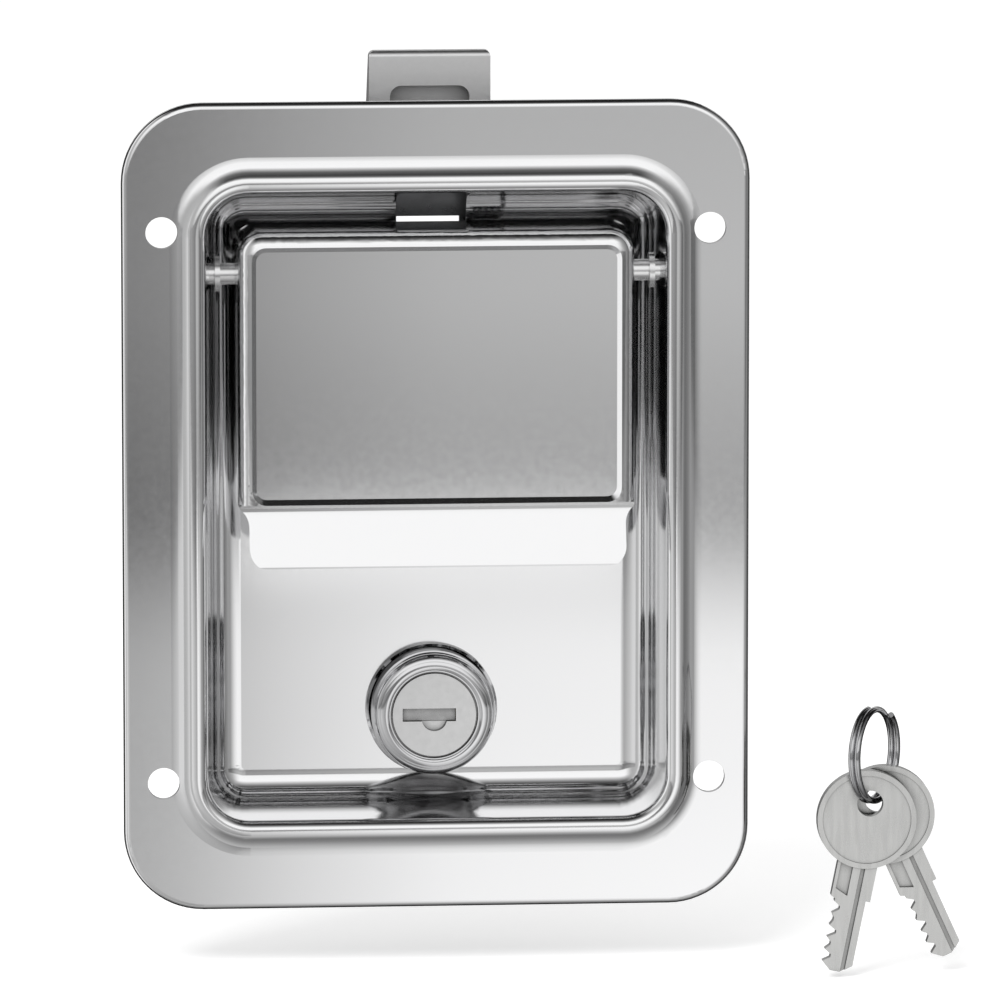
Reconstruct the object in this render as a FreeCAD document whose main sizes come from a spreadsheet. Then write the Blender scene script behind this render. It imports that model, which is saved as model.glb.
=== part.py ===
"""Paddle latch: pressed dish, lift paddle, spring bolt on a slide plate, cam lock and two keys on a ring.

Frame: +X to the right, +Y back into the cabinet, +Z up towards the bolt. The origin is the centre of the four
mounting holes on the flange's back face. Lengths are in millimetres, angles in degrees.
"""
import FreeCAD, Part
import os
import re
import Sketcher

SIZES = {
    # flange and its holes
    "plate_width": 110.0,
    "plate_height": 142.6,
    "plate_corner": 14.0,
    "edge_round": 1.1,
    "sheet": 1.5,
    "hole_spacing": 96.0,
    "hole_rows": 97.3,
    "hole_radius": 2.8,
    # raised bead and pan
    "crest_width": 84.4,
    "crest_height": 114.6,
    "bead_rise": 1.7,
    "bead_tilt": 42.0,
    "bead_roll": 2.0,
    "wall_draft": 10.0,
    "floor_depth": 12.2,
    "floor_roll": 5.0,
    "floor_corner": 0.8,
    "window_inset": 0.5,
    "window_corner": 0.8,
    # clearances
    "running_gap": 0.05,
    "slide_gap": 0.3,
    "overcut": 2.0,
    # pivot
    "pivot_y": 4.0,
    "pivot_drop": 8.5,
    "pin_radius": 1.9,
    "pin_head_radius": 3.0,
    "pin_head": 1.2,
    "pin_washer_radius": 3.1,
    "pin_washer_thickness": 0.9,
    # paddle
    "paddle_side_room": 6.9,
    "paddle_top_room": 8.1,
    "paddle_back": 7.3,
    "paddle_front": -3.5,
    "paddle_low": -0.5,
    "flank_draft": 4.0,
    "top_draft": 3.0,
    "paddle_corner": 4.4,
    "paddle_roll": 3.2,
    "paddle_sheet": 1.5,
    "face_recess": 0.9,
    "face_side": 3.7,
    "face_drop": 4.0,
    "face_bottom": 1.6,
    "face_corner": 1.8,
    "lip_side": 2.3,
    "lip_low": -9.7,
    "lip_flare": 20.0,
    "lip_bend": 4.0,
    "lip_corner": 3.5,
    "lip_curve_top": 2.4,
    "lip_curve_bottom": -3.0,
    # lever
    "lever_half": 5.0,
    "lever_thickness": 2.0,
    "lever_leg": 17.0,
    "lever_bend": 1.0,
    "lever_past": 1.6,
    "lever_swing": 8.0,
    "lever_room": 3.0,
    # slide plate
    "slide_y": 19.0,
    "slide_thickness": 2.0,
    "slide_half": 9.0,
    "slide_tail_half": 6.0,
    "slide_corner": 1.5,
    "slide_window_rise": 1.6,
    # bolt
    "bolt_half": 10.7,
    "bolt_front": 14.4,
    "bolt_back": 23.4,
    "bolt_rise": 16.4,
    "bolt_tip": 3.1,
    "bolt_ramp": 10.0,
    "bolt_past": 4.7,
    "bolt_tongue": 6.0,
    "bolt_corner": 1.0,
    "bolt_pocket_half": 7.0,
    "bolt_pocket_depth": 3.0,
    "bolt_pocket_drop": 6.1,
    "bolt_pocket_corner": 2.0,
    "rivet_radius": 1.4,
    "rivet_head_radius": 2.2,
    "rivet_head": 1.1,
    "rivet_offset": 4.0,
    # housing and bolt spring
    "housing_low": -6.0,
    "housing_flange": 7.5,
    "housing_flange_end": 2.0,
    "housing_slot_corner": 1.5,
    "strap_height": 5.5,
    "slot_half": 6.2,
    "tab_half": 3.8,
    "tab_z": 8.0,
    "tab_reach": 3.2,
    "tab_side": 0.5,
    "tab_slot": 12.0,
    "spring_length": 26.0,
    "spring_wire": 0.8,
    "spring_radius": 2.7,
    "spring_turns": 8.0,
    "spring_peg": 3.5,
    "peg_room": 0.7,
    # return spring on the pivot
    "coil_wire": 0.9,
    "coil_turns": 5.25,
    "coil_pitch": 1.1,
    "coil_x": 8.0,
    "coil_leg": 6.0,
    "coil_room": 0.4,
    # lock
    "lock_rise": 19.3,
    "lock_stand": 8.0,
    "lock_face_radius": 9.2,
    "lock_front_radius": 10.7,
    "lock_base_radius": 10.8,
    "lock_seat_radius": 11.6,
    "lock_seat": 1.6,
    "lock_seat_edge": 0.4,
    "lock_shell_radius": 9.0,
    "lock_flat": 7.6,
    "lock_shell_end": 18.5,
    "plug_face_radius": 7.7,
    "plug_head": 2.9,
    "barrel_radius": 6.2,
    "groove_wide": 0.35,
    "groove_deep": 0.7,
    "nut_across": 23.0,
    "nut_thickness": 3.6,
    "slot_width": 9.4,
    "slot_height": 2.3,
    "slot_shift": -0.9,
    "slot_lip": 0.6,
    "slot_room": 3.4,
    "shutter_thickness": 0.5,
    "shutter_hinge": 0.4,
    "keyway_gap": 0.25,
    "keyway_end": 16.0,
    "dimple_radius": 2.2,
    "dimple_depth": 0.8,
    "tail_half": 3.0,
    "wafer_thickness": 0.9,
    "wafer_first": 1.1,
    "wafer_pitch": 1.6,
    "wafer_half_width": 5.1,
    "wafer_half_height": 3.4,
    # cam, washer and screw
    "cam_thickness": 2.0,
    "cam_reach": 22.0,
    "cam_half": 5.0,
    "cam_hub": 6.0,
    "cam_washer_radius": 5.0,
    "cam_washer_thickness": 0.8,
    "screw_radius": 2.0,
    "screw_head_radius": 3.9,
    "screw_head": 2.4,
    "screw_head_face": 2.7,
    "screw_length": 5.0,
    "screw_recess": 1.2,
    # keys and ring
    "key_x": 75.6,
    "key_y": -16.0,
    "ring_low": -50.7,
    "ring_yaw": -30.0,
    "ring_radius": 8.0,
    "ring_wire": 1.1,
    "ring_turns": 1.9,
    "key_hole_radius": 2.3,
    "key_side": 0.88,
    "key_hang": 0.15,
    "bow_radius": 8.7,
    "bow_drop": 2.9,
    "bow_rim": 0.9,
    "bow_rim_rise": 0.2,
    "key_thickness": 1.9,
    "key_spacing": 2.7,
    "shank_half": 3.5,
    "shoulder_drop": 17.2,
    "blade_half": 2.7,
    "key_drop": 30.3,
    "key_tip": 1.4,
    "shoulder_ease": 0.4,
    "bitting_start": 0.9,
    "mill_end": 1.4,
    "mill_depth": 0.55,
    "front_lean": -11.3,
    "rear_lean": 24.4,
}

# Sizes that follow from the ones above, each a formula in their names.
DERIVED = {
    "crest_y": "-(sheet + bead_rise)",
    "roll_y": "crest_y + bead_roll",
    "floor_centre_y": "floor_depth - floor_roll",
    "wall_run": "(floor_centre_y - roll_y + (bead_roll + floor_roll) * sin(wall_draft)) / cos(wall_draft)",
    "floor_inset": "(bead_roll + floor_roll) * cos(wall_draft) + wall_run * sin(wall_draft)",
    "crest_corner": "floor_corner + floor_inset",
    "flare_rise": "bead_rise - bead_roll * (1 - cos(bead_tilt))",
    "flare_run": "flare_rise / tan(bead_tilt / 2)",
    "flare_round": "flare_run / sin(bead_tilt)",
    "bead_slope": "flare_run + bead_roll * sin(bead_tilt)",
    "floor_back": "floor_depth + sheet",
    "window_front": "roll_y + sheet",
    "window_top": "crest_height / 2 - window_inset",
    "window_bottom": "pivot_z - lever_thickness / 2 - slide_gap",
    "lock_hole_radius": "lock_shell_radius + 2 * running_gap",
    "paddle_half": "crest_width / 2 - paddle_side_room",
    "paddle_top": "crest_height / 2 - paddle_top_room",
    "face_half": "paddle_half - face_side",
    "face_top": "paddle_top - face_drop",
    "lip_half": "paddle_half - lip_side",
    "pivot_z": "paddle_top - pivot_drop",
    "paddle_depth": "paddle_back - paddle_front",
    "flank_run": "paddle_depth * tan(flank_draft)",
    "top_run": "paddle_depth * tan(top_draft)",
    "face_back": "paddle_front + face_recess + paddle_sheet",
    "lever_top": "paddle_top - top_run - paddle_sheet - running_gap",
    "lever_under": "lever_top - lever_thickness",
    "lever_leg_low": "lever_top - lever_leg",
    "lever_end": "slide_y + slide_thickness + lever_past",
    "slide_window_half": "lever_half + 2 * slide_gap",
    "slide_window_low": "lever_under - slide_gap",
    "slide_window_high": "lever_top + slide_window_rise",
    "slide_back": "slide_y + slide_thickness",
    "slide_low": "cam_reach - lock_drop + slide_gap",
    "bolt_step": "crest_height / 2 + bolt_past",
    "bolt_low": "bolt_step - bolt_tongue",
    "bolt_top": "bolt_step + bolt_rise",
    "bolt_pocket_top": "bolt_top - bolt_pocket_drop",
    "slide_head": "bolt_step - slide_gap",
    "rivet_z": "(bolt_low + bolt_step) / 2",
    "housing_top": "bolt_step",
    "strap_low": "housing_top - strap_height",
    "channel_half": "bolt_half + slide_gap",
    "channel_back": "bolt_back + slide_gap",
    "strap_back": "bolt_front - slide_gap",
    "spring_y": "slide_y + slide_thickness / 2",
    "spring_top": "tab_z + spring_length",
    "peg_half": "spring_radius - spring_wire / 2 - peg_room",
    "tab_front": "slide_y - tab_reach",
    "coil_radius": "pin_radius + coil_wire / 2 + coil_room",
    "lock_drop": "crest_height / 2 - lock_rise",
    "lock_front": "floor_depth - lock_stand",
    "plug_front": "lock_front",
    "plug_shoulder": "plug_front + plug_head",
    "cam_front": "lock_shell_end + slide_gap",
    "cam_back": "cam_front + cam_thickness",
    "washer_back": "cam_back + cam_washer_thickness",
    "keyway_half": "blade_half + keyway_gap",
    "keyway_half_height": "key_thickness / 2 + keyway_gap / 2",
    "shutter_y": "plug_front + slot_lip + running_gap",
    "wafer_start": "plug_shoulder + wafer_first",
    "ring_centre_z": "ring_low + ring_radius",
    "ring_pitch": "ring_wire + running_gap",
    "wall_top_x": "crest_width / 2 - bead_roll * cos(wall_draft)",
    "wall_top_y": "roll_y - bead_roll * sin(wall_draft)",
    "pin_wall_x": "wall_top_x - (pivot_y - wall_top_y) * tan(wall_draft)",
}

WAFERS = 5
# The depth of each cut in a key's blade, as a share of half the blade.
BITTING = (0.42, 0.18, 0.5, 0.3, 0.46)

doc = FreeCAD.newDocument("paddle_latch")
sheet = doc.addObject("Spreadsheet::Sheet", "dims")
for line, (name, size) in enumerate(SIZES.items(), start=1):
    sheet.set(f"A{line}", name)
    sheet.set(f"B{line}", str(size))
    sheet.setAlias(f"B{line}", name)
doc.recompute()


def bound(text):
    """The formula with each named size as a reference to its cell in the sheet."""
    def cell(match):
        word = match.group()
        if word in DERIVED:
            return f"({bound(DERIVED[word])})"
        return f"dims.{word}" if word in SIZES else word
    return re.sub(r"[a-z][a-z_]*", cell, text)


def value(text):
    """The formula's number."""
    return float(sheet.evalExpression(bound(text)))


def new_body(label, x=None, y=None, z=None):
    """A body with its own label, placed by formulas."""
    body = doc.addObject("PartDesign::Body", label)
    body.Label = label
    for axis, place in (("x", x), ("y", y), ("z", z)):
        if place:
            body.setExpression(f"Placement.Base.{axis}", bound(place))
    return body


def new_sketch(body, role, offset=None):
    """A sketch on one of the body's own origin planes, moved along the plane's normal."""
    sketch = body.newObject("Sketcher::SketchObject", "sketch")
    plane = next(item for item in body.Origin.OriginFeatures if item.Role == role)
    sketch.AttachmentSupport = (plane, [""])
    sketch.MapMode = "FlatFace"
    if offset:
        sketch.setExpression("AttachmentOffset.Base.z", bound(offset))
    return sketch


def pin_point(sketch, item, spot, across, up):
    """Ties a point of the sketch to two formulas."""
    for kind, formula in (("DistanceX", across), ("DistanceY", up)):
        rule = Sketcher.Constraint(kind, -1, 1, item, spot, value(formula))
        number = sketch.addConstraint(rule)
        sketch.setExpression(f"Constraints[{number}]", bound(formula))


def tie_radius(sketch, item, formula):
    """Ties the radius of a circle or arc to a formula."""
    number = sketch.addConstraint(Sketcher.Constraint("Radius", item, value(formula)))
    sketch.setExpression(f"Constraints[{number}]", bound(formula))


def draw_outline(sketch, corners, arcs=None):
    """A closed outline through the corners. arcs gives a side's radius, and +1 for a centre on the left."""
    arcs = arcs or {}
    points = [FreeCAD.Vector(value(across), value(up), 0) for across, up in corners]
    ends = []
    for side, start in enumerate(points):
        finish = points[(side + 1) % len(points)]
        if side not in arcs:
            item = sketch.addGeometry(Part.LineSegment(start, finish), False)
            ends.append((item, 1, 2))
            continue
        formula, turn = arcs[side]
        radius = value(formula)
        chord = finish - start
        left = FreeCAD.Vector(-chord.y, chord.x, 0).normalize()
        rise = max(radius ** 2 - (chord.Length / 2) ** 2, 0) ** 0.5
        centre = (start + finish) / 2 + left * (rise * turn)
        first, last = (start, finish) if turn > 0 else (finish, start)
        circle = Part.Circle(centre, FreeCAD.Vector(0, 0, 1), radius)
        arc = Part.ArcOfCircle(circle, circle.parameter(first), circle.parameter(last))
        item = sketch.addGeometry(arc, False)
        ends.append((item, 1, 2) if turn > 0 else (item, 2, 1))
    for side, (item, begin, end) in enumerate(ends):
        follower, follower_begin, _ = ends[(side + 1) % len(ends)]
        sketch.addConstraint(Sketcher.Constraint("Coincident", item, end, follower, follower_begin))
        pin_point(sketch, item, begin, *corners[side])
        if side in arcs:
            tie_radius(sketch, item, arcs[side][0])


def draw_rounded(sketch, half_width, low, high, radius, start_on_side=False):
    """A rounded rectangle, symmetrical left to right."""
    inner = f"({half_width}) - ({radius})"
    corners = [
        (half_width, f"({low}) + ({radius})"),
        (half_width, f"({high}) - ({radius})"),
        (inner, high),
        (f"-({inner})", high),
        (f"-({half_width})", f"({high}) - ({radius})"),
        (f"-({half_width})", f"({low}) + ({radius})"),
        (f"-({inner})", low),
        (inner, low),
    ]
    arcs = {side: (radius, 1) for side in (1, 3, 5, 7)}
    if start_on_side:
        corners = [(half_width, "0")] + corners[1:] + corners[:1]
    draw_outline(sketch, corners, arcs)


def draw_circle(sketch, across, up, radius):
    """A circle with its centre and radius tied to formulas."""
    centre = FreeCAD.Vector(value(across), value(up), 0)
    item = sketch.addGeometry(Part.Circle(centre, FreeCAD.Vector(0, 0, 1), value(radius)), False)
    pin_point(sketch, item, 3, across, up)
    tie_radius(sketch, item, radius)


def draw_box(sketch, half_width, low, high, shift="0"):
    """A rectangle, symmetrical about a line shifted from the middle."""
    draw_outline(sketch, [
        (f"({shift}) + ({half_width})", low),
        (f"({shift}) + ({half_width})", high),
        (f"({shift}) - ({half_width})", high),
        (f"({shift}) - ({half_width})", low),
    ])


def solid(body, kind, sketch, length, backwards=False, symmetric=False, taper=None):
    """A Pad or Pocket of the sketch, its length and taper tied to formulas."""
    feature = body.newObject(f"PartDesign::{kind}", kind)
    feature.Profile = sketch
    feature.Reversed = backwards
    if symmetric:
        feature.SideType = "Symmetric"
    feature.setExpression("Length", bound(length))
    if taper:
        feature.setExpression("TaperAngle", bound(taper))
    doc.recompute()
    return feature


def pad(body, sketch, length, **ways):
    return solid(body, "Pad", sketch, length, **ways)


def pocket(body, sketch, length, **ways):
    before = body.Shape.Volume
    feature = solid(body, "Pocket", sketch, length, **ways)
    if body.Shape.Volume >= before - 1e-6:
        raise RuntimeError(f"a pocket of {body.Label} cuts nothing")
    return feature


def revolve(body, sketch, axis):
    """A full turn of the sketch about one of its own axes."""
    feature = body.newObject("PartDesign::Revolution", "Revolution")
    feature.Profile = sketch
    feature.ReferenceAxis = (sketch, [axis])
    feature.Angle = 360
    doc.recompute()
    return feature


def coil(body, sketch, axis, pitch, turns, left_handed=False):
    """A wire wound about one of its sketch's axes."""
    feature = body.newObject("PartDesign::AdditiveHelix", "Helix")
    feature.Profile = sketch
    feature.ReferenceAxis = (sketch, [axis])
    feature.Mode = "pitch-turns-angle"
    feature.LeftHanded = left_handed
    feature.setExpression("Pitch", bound(pitch))
    feature.setExpression("Turns", bound(turns))
    doc.recompute()
    return feature


def round_edges(body, radius, chosen):
    """Fillets the edges of the body's tip that the test chooses."""
    base = body.Tip
    names = [f"Edge{n}" for n, edge in enumerate(base.Shape.Edges, start=1) if chosen(edge)]
    if not names:
        raise RuntimeError(f"no edge to round on {body.Label}")
    feature = body.newObject("PartDesign::Fillet", "Fillet")
    feature.Base = (base, names)
    feature.setExpression("Radius", bound(radius))
    doc.recompute()
    return feature


def near(number, target):
    return abs(number - target) < 0.01


def make_dish():
    """The pressed plate: flat flange, raised bead, drafted pan, window for the lever and the lock's hole."""
    body = new_body("dish_plate")
    flange = new_sketch(body, "XZ_Plane")
    draw_rounded(flange, "plate_width / 2", "-plate_height / 2", "plate_height / 2", "plate_corner")
    pad(body, flange, "sheet")
    round_edges(body, "min(edge_round; 0.8 * sheet)",
                lambda edge: all(near(v.Y, -value("sheet")) for v in edge.Vertexes))
    opening = new_sketch(body, "XZ_Plane")
    draw_rounded(opening, "crest_width / 2 + bead_slope", "-crest_height / 2 - bead_slope",
                 "crest_height / 2 + bead_slope", "crest_corner + bead_slope")
    pocket(body, opening, "3 * sheet", symmetric=True)

    crest = new_sketch(body, "XZ_Plane")
    draw_rounded(crest, "crest_width / 2", "-crest_height / 2", "crest_height / 2", "crest_corner",
                 start_on_side=True)
    section = new_sketch(body, "XY_Plane")
    edge = "crest_width / 2"
    inner = "(bead_roll - sheet)"
    wall_front = "floor_roll"
    wall_back = "(floor_roll + sheet)"
    corners = [
        (f"{edge} + bead_slope", "-sheet"),
        (f"{edge} + bead_roll * sin(bead_tilt)", "roll_y - bead_roll * cos(bead_tilt)"),
        ("wall_top_x", "wall_top_y"),
        (f"{edge} - floor_inset + {wall_front} * cos(wall_draft)",
         f"floor_centre_y + {wall_front} * sin(wall_draft)"),
        (f"{edge} - floor_inset", "floor_depth"),
        (f"{edge} - floor_inset", "floor_back"),
        (f"{edge} - floor_inset + {wall_back} * cos(wall_draft)",
         f"floor_centre_y + {wall_back} * sin(wall_draft)"),
        (f"{edge} - {inner} * cos(wall_draft)", f"roll_y - {inner} * sin(wall_draft)"),
        (f"{edge} + {inner} * sin(bead_tilt)", f"roll_y - {inner} * cos(bead_tilt)"),
        (f"{edge} + bead_slope", "0"),
    ]
    arcs = {
        0: ("flare_round", 1), 1: ("bead_roll", -1), 3: (wall_front, 1),
        5: (wall_back, -1), 7: (inner, 1), 8: ("flare_round + sheet", -1),
    }
    draw_outline(section, corners, arcs)
    bead = body.newObject("PartDesign::AdditivePipe", "Pipe")
    bead.Profile = section
    bead.Spine = (crest, [])
    doc.recompute()

    floor = new_sketch(body, "XZ_Plane", "-floor_back")
    draw_rounded(floor, "crest_width / 2 - floor_inset", "-crest_height / 2 + floor_inset",
                 "crest_height / 2 - floor_inset", "floor_corner")
    pad(body, floor, "sheet")

    holes = new_sketch(body, "XZ_Plane")
    for across in ("hole_spacing / 2", "-hole_spacing / 2"):
        for up in ("hole_rows / 2", "-hole_rows / 2"):
            draw_circle(holes, across, up, "hole_radius")
    pocket(body, holes, "4 * sheet", symmetric=True)

    window = new_sketch(body, "XZ_Plane", "-window_front")
    draw_rounded(window, "slot_half", "window_bottom", "window_top", "window_corner")
    pocket(body, window, "floor_back")

    lock_hole = new_sketch(body, "XZ_Plane", "-floor_centre_y")
    draw_double_flat(lock_hole, "lock_hole_radius", "lock_flat + running_gap", "-lock_drop")
    pocket(body, lock_hole, "floor_back")

    pin_holes = new_sketch(body, "YZ_Plane")
    draw_circle(pin_holes, "pivot_y", "pivot_z", "pin_radius + running_gap")
    pocket(body, pin_holes, "plate_width", symmetric=True)
    return body


def draw_double_flat(sketch, radius, flat, up):
    """A circle cut by two upright flats."""
    rise = f"sqrt(({radius}) ^ 2 - ({flat}) ^ 2)"
    corners = [
        (flat, f"({up}) - {rise}"),
        (flat, f"({up}) + {rise}"),
        (f"-({flat})", f"({up}) + {rise}"),
        (f"-({flat})", f"({up}) - {rise}"),
    ]
    draw_outline(sketch, corners, {1: (radius, 1), 3: (radius, 1)})


def draw_paddle_shell(sketch, half, top, low, corner):
    """The paddle's outline in front view: round top corners and an open lower end."""
    corners = [
        (half, low),
        (half, f"({top}) - ({corner})"),
        (f"({half}) - ({corner})", top),
        (f"({corner}) - ({half})", top),
        (f"-({half})", f"({top}) - ({corner})"),
        (f"-({half})", low),
    ]
    draw_outline(sketch, corners, {1: (corner, 1), 3: (corner, 1)})


def paddle_loft(body, kind, inset, front, back, low):
    """A loft between the paddle's back and front outlines, set in by the sheet for its hollow."""
    sketches = []
    for place, run, rise in ((back, "0", "0"), (front, "flank_run", "top_run")):
        sketch = new_sketch(body, "XZ_Plane", f"-({place})")
        draw_paddle_shell(sketch, f"paddle_half - {inset} - {run}", f"paddle_top - {inset} - {rise}",
                          low, f"paddle_corner - {inset} / 2")
        sketches.append(sketch)
    loft = body.newObject(f"PartDesign::{kind}", kind)
    loft.Profile = sketches[0]
    loft.Sections = [(sketches[1], [""])]
    loft.Ruled = True
    doc.recompute()
    return loft


def make_paddle():
    """The drawn paddle: a shell open at the back, with a sunk face and a flared finger lip."""
    body = new_body("paddle")
    paddle_loft(body, "AdditiveLoft", "0", "paddle_front", "paddle_back", "paddle_low")
    front = value("paddle_front")
    low = value("paddle_low")
    round_edges(body, "min(paddle_roll; 2.4 * paddle_sheet)",
                lambda edge: all(near(v.Y, front) for v in edge.Vertexes)
                and not all(near(v.Z, low) for v in edge.Vertexes))
    hollow = "paddle_front + paddle_sheet"
    paddle_loft(body, "SubtractiveLoft", "paddle_sheet", hollow, "paddle_back", "paddle_low - overcut")

    recess = new_sketch(body, "XZ_Plane", "-paddle_front")
    draw_rounded(recess, "face_half + face_recess", "face_bottom - face_recess", "face_top + face_recess",
                 "face_corner + face_recess")
    pocket(body, recess, "face_recess", taper="-45")
    backing = new_sketch(body, "XZ_Plane", f"-({hollow}) - face_recess")
    draw_rounded(backing, "face_half + paddle_sheet / 2", "face_bottom - paddle_sheet / 2",
                 "min(face_top + paddle_sheet / 2; lever_top)", "face_corner")
    pad(body, backing, "face_recess + running_gap")

    lip = new_sketch(body, "YZ_Plane")
    centre_y = "(paddle_front - lip_bend)"
    bend_z = "(paddle_low + lip_bend * tan(lip_flare / 2))"
    outer = "(lip_bend + paddle_sheet)"
    run = f"(({bend_z} - lip_bend * sin(lip_flare) - lip_low) / cos(lip_flare))"
    corners = [
        ("paddle_front", "face_bottom - face_recess"),
        ("paddle_front", bend_z),
        (f"{centre_y} + lip_bend * cos(lip_flare)", f"{bend_z} - lip_bend * sin(lip_flare)"),
        (f"{centre_y} + lip_bend * cos(lip_flare) - {run} * sin(lip_flare)", "lip_low"),
        (f"{centre_y} + {outer} * cos(lip_flare) - {run} * sin(lip_flare)",
         "lip_low - paddle_sheet * sin(lip_flare)"),
        (f"{centre_y} + {outer} * cos(lip_flare)", f"{bend_z} - {outer} * sin(lip_flare)"),
        ("paddle_front + paddle_sheet", bend_z),
        ("paddle_front + paddle_sheet", "face_bottom - face_recess"),
    ]
    draw_outline(lip, corners, {1: ("lip_bend", -1), 5: (outer, 1)})
    pad(body, lip, "2 * (paddle_half - flank_run)", symmetric=True)

    curves = new_sketch(body, "XZ_Plane")
    width = "(paddle_half - lip_half)"
    height = "(lip_curve_top - lip_curve_bottom)"
    ratio = f"({width} / {height})"
    curve = f"({height} * (1 + {ratio} ^ 2) / (4 * {ratio}))"
    lip_end = "(lip_low - paddle_sheet * sin(lip_flare))"
    for hand, sign in ((1, ""), (-1, "-")):
        corners = [
            (f"{sign}(paddle_half + overcut)", "lip_curve_top"),
            (f"{sign}paddle_half", "lip_curve_top"),
            (f"{sign}(paddle_half + lip_half) / 2", "(lip_curve_top + lip_curve_bottom) / 2"),
            (f"{sign}lip_half", "lip_curve_bottom"),
            (f"{sign}lip_half", f"{lip_end} + lip_corner"),
            (f"{sign}(lip_half - lip_corner)", lip_end),
            (f"{sign}(lip_half - lip_corner)", "lip_low - 2 * overcut"),
            (f"{sign}(paddle_half + overcut)", "lip_low - 2 * overcut"),
        ]
        draw_outline(curves, corners, {1: (curve, -hand), 2: (curve, hand), 4: ("lip_corner", -hand)})
    pocket(body, curves, "4 * paddle_depth", symmetric=True)

    pin_holes = new_sketch(body, "YZ_Plane")
    draw_circle(pin_holes, "pivot_y", "pivot_z", "pin_radius + running_gap")
    pocket(body, pin_holes, "4 * paddle_half", symmetric=True)
    return body


def make_lever():
    """The angle welded behind the paddle's face. Its arm reaches back through the dish's window."""
    body = new_body("paddle_lever")
    side = new_sketch(body, "YZ_Plane")
    leg_front = "face_back + running_gap"
    leg_back = f"({leg_front} + lever_thickness)"
    outer = "(lever_bend + lever_thickness)"
    corners = [
        (leg_front, "lever_leg_low"),
        (leg_front, f"lever_top - {outer}"),
        (f"{leg_front} + {outer}", "lever_top"),
        ("lever_end", "lever_top"),
        ("lever_end", "lever_under"),
        (f"{leg_back} + lever_bend", "lever_under"),
        (leg_back, "lever_under - lever_bend"),
        (leg_back, "lever_leg_low"),
    ]
    draw_outline(side, corners, {1: (outer, -1), 5: ("lever_bend", 1)})
    pad(body, side, "2 * lever_half", symmetric=True)
    return body


def make_pivot_pin():
    """The pin through both walls of the pan, its ends riveted over."""
    body = new_body("pivot_pin", y="pivot_y", z="pivot_z")
    side = new_sketch(body, "XZ_Plane")
    inner = "(pin_wall_x + sheet + pin_head_radius * tan(wall_draft) + 2 * running_gap)"
    outer = f"({inner} + pin_head)"
    draw_outline(side, [
        (f"-{outer}", "0"),
        (f"-{outer}", "pin_radius"),
        (f"-{inner}", "pin_head_radius"),
        (f"-{inner}", "pin_radius"),
        (inner, "pin_radius"),
        (inner, "pin_head_radius"),
        (outer, "pin_radius"),
        (outer, "0"),
    ])
    revolve(body, side, "H_Axis")
    return body


def make_pin_washer(label, sign):
    """A washer between the paddle's flank and the pan's wall."""
    body = new_body(label, y="pivot_y", z="pivot_z")
    seat = "(pin_wall_x - pin_washer_radius * tan(wall_draft) - 3 * running_gap)"
    offset = f"{seat} - pin_washer_thickness" if sign > 0 else f"-{seat}"
    ring = new_sketch(body, "YZ_Plane", offset)
    draw_circle(ring, "0", "0", "pin_washer_radius")
    draw_circle(ring, "0", "0", "pin_radius + running_gap")
    pad(body, ring, "pin_washer_thickness")
    return body


def make_paddle_spring():
    """The return spring: a coil on the pivot pin, one leg behind the face and one on the pan's floor."""
    body = new_body("paddle_spring", y="pivot_y", z="pivot_z")
    wire = new_sketch(body, "XY_Plane")
    draw_circle(wire, "coil_x", "-coil_radius", "coil_wire / 2")
    coil(body, wire, "H_Axis", "coil_pitch", "coil_turns")
    face_leg = new_sketch(body, "XY_Plane")
    draw_circle(face_leg, "coil_x", "-coil_radius", "coil_wire / 2")
    pad(body, face_leg, "coil_leg")
    foot = new_sketch(body, "XZ_Plane", "coil_radius - coil_wire / 4")
    draw_circle(foot, "coil_x", "coil_leg - coil_wire / 2", "coil_wire / 2 - running_gap / 2")
    pad(body, foot, "pivot_y - face_back - coil_radius + coil_wire / 4 - running_gap")
    floor_leg = new_sketch(body, "XZ_Plane")
    draw_circle(floor_leg, "coil_x + coil_pitch * coil_turns", "-coil_radius", "coil_wire / 2")
    pad(body, floor_leg, "floor_depth - pivot_y - running_gap", backwards=True)
    return body


def make_slide_plate():
    """The flat slide behind the pan: lever window, cut-out and peg for the spring, tail for the cam."""
    body = new_body("slide_plate")
    plate = new_sketch(body, "XZ_Plane", "-slide_back")
    shoulder = "(slide_low + 2 * slide_half)"
    corners = [
        ("slide_tail_half - slide_corner", "slide_low"),
        ("slide_tail_half", "slide_low + slide_corner"),
        ("slide_tail_half", shoulder),
        ("slide_half", f"{shoulder} + slide_half - slide_tail_half"),
        ("slide_half", "slide_head"),
        ("-slide_half", "slide_head"),
        ("-slide_half", f"{shoulder} + slide_half - slide_tail_half"),
        ("-slide_tail_half", shoulder),
        ("-slide_tail_half", "slide_low + slide_corner"),
        ("slide_corner - slide_tail_half", "slide_low"),
    ]
    draw_outline(plate, corners, {0: ("slide_corner", 1), 8: ("slide_corner", 1)})
    pad(body, plate, "slide_thickness")
    cuts = new_sketch(body, "XZ_Plane", "-slide_back")
    draw_box(cuts, "slide_window_half", "slide_window_low", "slide_window_high")
    room = "tab_half + 2 * slide_gap"
    draw_outline(cuts, [
        (room, "tab_z - sheet - 3 * slide_gap"),
        (room, "spring_top"),
        ("peg_half", "spring_top"),
        ("peg_half", "spring_top - spring_peg"),
        ("-peg_half", "spring_top - spring_peg"),
        ("-peg_half", "spring_top"),
        (f"-({room})", "spring_top"),
        (f"-({room})", "tab_z - sheet - 3 * slide_gap"),
    ])
    draw_circle(cuts, "rivet_offset", "rivet_z", "rivet_radius + running_gap")
    draw_circle(cuts, "-rivet_offset", "rivet_z", "rivet_radius + running_gap")
    pocket(body, cuts, "4 * slide_thickness", symmetric=True)
    return body


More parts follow.
